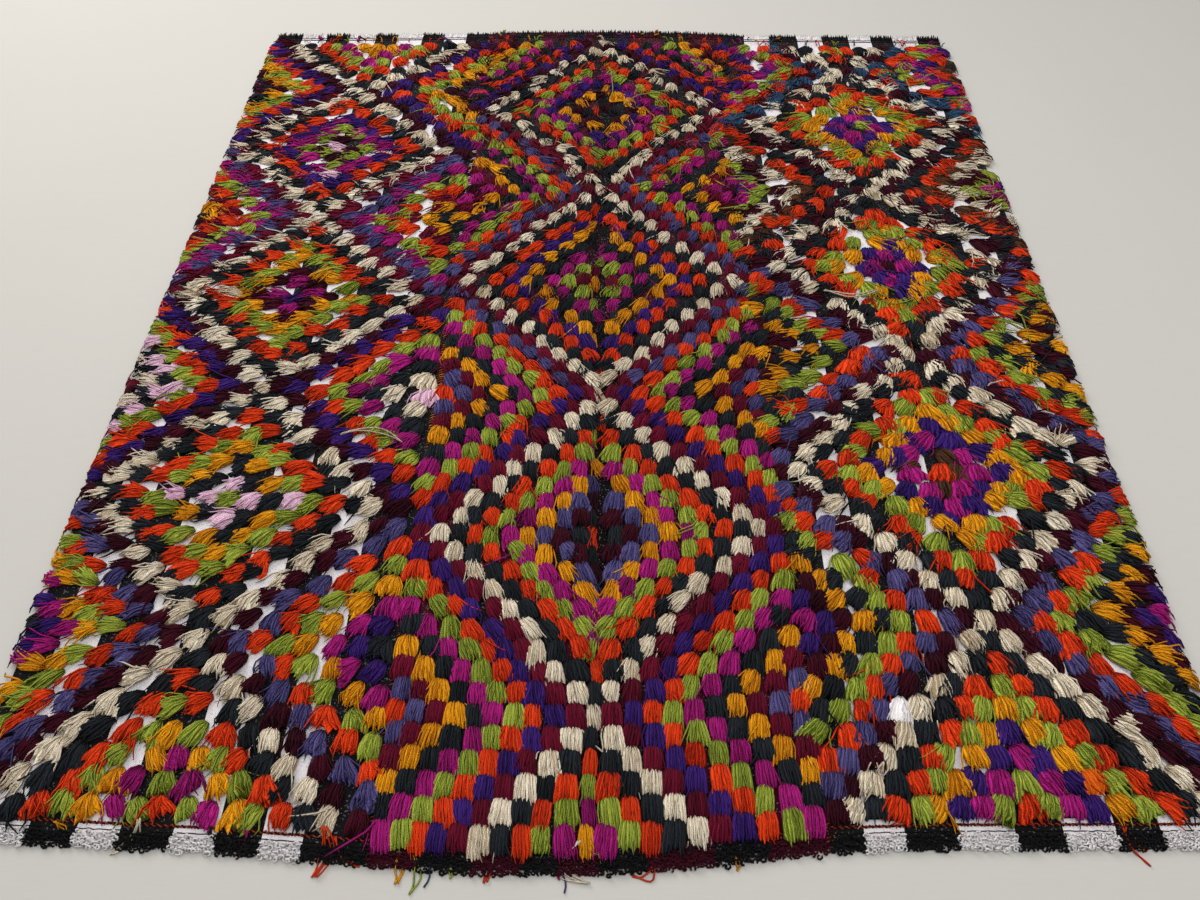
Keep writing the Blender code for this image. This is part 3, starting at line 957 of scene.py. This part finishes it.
def hem_thread(strip, near, rng):
    """One thin dark thread that runs along the plain hem."""
    x, y = hem_line(strip, near, 0.0032, 0.006, 0.002, rng)
    path = np.stack([x, y, ground(x, y) + CLOTH + 0.0003 + rng.uniform(0, 0.0004, len(x))], -1)
    return [strands(path[None], 0.0007, dye_number("black"), 0.5)]


# Dyes of the stitches over both seams, each pair up to a place along the rug
SEAM_SPANS = (
    (-0.60, "rust maroon"),
    (-0.40, "orange maroon"),
    (-0.12, "yellow rust"),
    (0.05, "orange yellow"),
    (0.45, "linen black"),
    (0.86, "orange rust"),
)


def seam_stitches(seam, rng):
    """Overcast stitches over a seam."""
    end, pitch, radius = 0.845, 0.0050, 0.0010
    y = np.arange(-end, end, pitch)[:, None]
    y = y + rng.normal(0, 0.0005, y.shape)
    t = np.linspace(-1, 1, 5)
    py = y + rng.uniform(0.0012, 0.0024, y.shape) * t
    px = seam + rng.uniform(0.0048, 0.0062, y.shape) * t
    z = ground(px, py) + CLOTH + 0.0014 * (1 - t ** 2) - 0.0002
    dye = []
    for index, place in enumerate(y[:, 0]):
        names = [words for limit, words in SEAM_SPANS if place < limit][0].split()
        dye.append(dye_number(names[(index // 2) % 2]))
    return strands(np.stack([px, py, z], -1), radius, dye, rng.uniform(0.4, 1.0, len(y)))


# Loose yarns: dye, start across and along, end across and along (millimetres), how far they
# sag sideways, and how many
LOOSE_MM = (
    ("orange", -312, -835, -318, -884, 4, 4),
    ("orange", -300, -845, -270, -872, -6, 2),
    ("yellow", -232, -862, -228, -890, 3, 3),
    ("green", -214, -858, -212, -900, 6, 2),
    ("teal", -205, -858, -198, -893, 10, 1),
    ("orange", -150, -855, -132, -888, 8, 3),
    ("green", -172, -872, -170, -884, 2, 2),
    ("magenta", -70, -868, -52, -884, 6, 2),
    ("slate", -66, -868, -46, -898, 10, 1),
    ("cream", -30, -848, -20, -888, -16, 3),
    ("cream", -18, -860, -2, -880, 10, 2),
    ("orange", 50, -862, 28, -880, 10, 2),
    ("yellow", 138, -860, 142, -874, 3, 2),
    ("yellow", -615, -830, -604, -846, 2, 3),
    ("cream", -520, -828, -545, -862, 4, 3),
    ("magenta", -400, -838, -404, -864, 2, 2),
    ("charcoal", -440, -834, -446, -850, 2, 2),
    ("slate", 530, -836, 524, -850, 3, 2),
    ("amber", 584, -838, 592, -852, 2, 3),
    ("orange", 575, -828, 594, -866, -4, 2),
    ("green", 78, 838, 76, 876, 3, 2),
    ("yellow", 108, 840, 110, 880, 4, 3),
    ("orange", 160, 842, 156, 874, 3, 1),
    ("magenta", 28, 842, 14, 876, 3, 1),
    ("magenta", -205, 838, -208, 864, 3, 1),
    ("green", -236, 820, -234, 878, 4, 2),
    ("magenta", -628, 806, -642, 856, 4, 3),
    ("maroon", -530, 800, -556, 850, 6, 2),
    ("slate", -345, 795, -372, 852, 4, 3),
    ("yellow", -588, 815, -600, 850, 4, 3),
    ("yellow", 375, 826, 380, 852, 2, 3),
    ("maroon", 310, 820, 312, 856, 2, 1),
    ("green", 0, 700, 6, 590, 6, 1),
    ("cream", 360, 18, 450, 22, -10, 2),
    ("cream", -390, -290, -300, -302, 12, 2),
    ("cream", 580, -190, 608, -178, 2, 1),
    ("orange", -300, 485, -240, 478, 6, 2),
    ("green", 100, 600, 30, 560, -10, 1),
)


def upright_ends(strip, rng):
    """Yarns of the last row that stand away over the far hem."""
    batches = []
    half = strip.columns // 2
    pitch = (strip.x_high - strip.x_low) / strip.columns
    t = np.linspace(0, 1, 5)
    for column in range(-half, half + 1):
        number = rng.integers(0, 5)
        if number == 0:
            continue
        x = (strip.x_low + strip.x_high) / 2 + column * pitch
        x = x + float(taper(strip, x, HALF_LENGTH)) + rng.uniform(-0.4, 0.4, (number, 1)) * pitch
        y = cloth_far(x) - PLAIN_HEM - LAST_ROOT[strip.name]
        px = x + rng.normal(0, 0.010, (number, 1)) * t ** 1.5
        py = y + rng.uniform(0.012, 0.026, (number, 1)) * t
        z = 0.006 + rng.uniform(0.003, 0.009, (number, 1)) * np.sin(math.pi * (0.15 + 0.75 * t))
        radii = LOOSE_RADIUS * np.array([1, 1, 1, 0.9, 0.5])
        dye = dye_number(dye_of(strip, column, strip.rows - 1))
        tone = rng.uniform(0.3, 0.9, number)
        batches.append(strands(np.stack([px, py, z], -1), radii, dye, tone))
    return batches


def loose_yarns(rng):
    """The single yarns that are listed above, as small bundles."""
    batches = []
    t = np.linspace(0, 1, 9)
    for dye, *places, count in LOOSE_MM:
        x_a, y_a, x_b, y_b, sag = np.array(places) / 1000
        run = np.array([x_b - x_a, y_b - y_a])
        aside = np.array([-run[1], run[0]]) / np.linalg.norm(run)
        for strand in range(count):
            bow = sag * (1 + 0.6 * strand) * np.sin(math.pi * t)
            bow = bow + 0.0012 * np.sin(9 * t + strand * 2)
            x = x_a + run[0] * t + aside[0] * bow + 0.0020 * (strand - (count - 1) / 2)
            y = y_a + run[1] * t + aside[1] * bow
            on_rug = np.clip(np.minimum(y - cloth_near(x), cloth_far(x) - y) / 0.020, 0, 1)
            z = 0.0024 + 0.0165 * on_rug + 0.0015 * np.sin(5 * t + strand)
            path = np.stack([x, y, np.maximum(z, 0.0015)], -1)[None]
            batches.append(strands(path, LOOSE_RADIUS, dye_number(dye), rng.uniform(0.5, 1.0)))
    return batches


cloths = {}
goes_with = {}
for seed, strip in enumerate(STRIPS, 101):
    name = strip.name
    rng = np.random.default_rng(seed)
    cloths[name] = cloth_sheet(strip)
    solids = ["strip_" + name] + (["locks_" + name] if name != "middle" else [])
    middle_row = strip.rows // 2 + 1
    goes_with[name] = [
        loft_piece(f"pile_{name}_{place}", tuft_batches(strip, rows, rng),
                   YARN, solids)
        for place, rows in (("near", range(middle_row)), ("far", range(middle_row, strip.rows)))]
    near = near_loops(strip, rng) + twined_line(strip, True, rng) + hem_thread(strip, True, rng)
    far = far_ends(strip, rng) + twined_line(strip, False, rng) + hem_thread(strip, False, rng)
    far += upright_ends(strip, rng)
    goes_with[name] += [
        loft_piece(f"ends_{place}_{name}", batches, YARN, [f"fringe_{place}_{name}"])
        for place, batches in (("near", near), ("far", far))]

rng = np.random.default_rng(7)
stitches = [seam_stitches(seam, rng) for seam in (LEFT_SEAM, RIGHT_SEAM)]
goes_with["middle"] += [
    loft_piece("seam_stitches", stitches, YARN, ["strip_middle"]),
    loft_piece("loose_yarns", loose_yarns(rng), YARN, ["strip_middle"])]

# Width and length of each cloth when flat
FLAT = {"left": (0.470, 1.706), "middle": (0.508, 1.733), "right": (0.474, 1.696)}
for name, piece in cloths.items():
    FLAT[name]
    goes_with[name]

# Pale floor
tree = Tree("pale_floor")
cloud = tree.noise(1.4, 3.0)
grain = tree.noise(30.0, 3.0, stretch=(1.0, 14.0, 1.0))
mottle = tree.math("ADD", tree.math("MULTIPLY", cloud, 0.5), tree.math("MULTIPLY", grain, 0.5))
floor_color = tree.mix(mottle, linear((181, 178, 171)), linear((192, 189, 182)))
FLOOR = 6
floor_mesh = bpy.data.meshes.new("floor")
floor_corners = [(x * FLOOR, y * FLOOR, 0) for x, y in ((-1, -1), (1, -1), (1, 1), (-1, 1))]
floor_mesh.from_pydata(floor_corners, [], [(0, 1, 2, 3)])
floor_mesh.materials.append(
    tree.finish(floor_color, mottle, roughness=0.7, sheen=0.0, strength=0.05, distance=0.001))
floor = add_object("floor", floor_mesh)

# Camera: 1.06 m over the floor, looking down at the near part of the rug
camera_data = bpy.data.cameras.new("camera")
camera_data.sensor_width = 36.0
camera_data.lens = 27.03
camera = add_object("camera", camera_data)
camera.location = (-0.006 + SHIFT_X, -1.0958 + SHIFT_Y, 1.061)
camera.rotation_euler = (math.radians(90 - 53.2), 0.0, math.radians(0.38))
bpy.context.scene.camera = camera

# Soft light from above, and a pale surround
world = bpy.data.worlds.new("surround")
world.use_nodes = True
background = world.node_tree.nodes["Background"].inputs
background["Color"].default_value = (0.93, 0.95, 1.0, 1.0)
background["Strength"].default_value = 0.56
bpy.context.scene.world = world
bpy.context.scene.view_settings.view_transform = "Standard"
# Lights that aim at the middle of the rug: name, place, size in metres, watts, colour
for name, spot, size, power, color in (
    ("window", (-1.7, 2.0, 2.3), 2.0, 84.0, (1.0, 0.98, 0.95)),
    ("ceiling", (0.6, -0.6, 3.0), 2.8, 50.0, (1.0, 0.99, 0.97)),
):
    light_data = bpy.data.lights.new(name, "AREA")
    light_data.size = size
    light_data.energy = power
    light_data.color = color
    light = add_object(name, light_data)
    light.location = spot
    x, y, z = spot
    light.rotation_euler = (math.atan2(math.hypot(x, y), z), 0.0, math.atan2(-y, -x) - math.pi / 2)
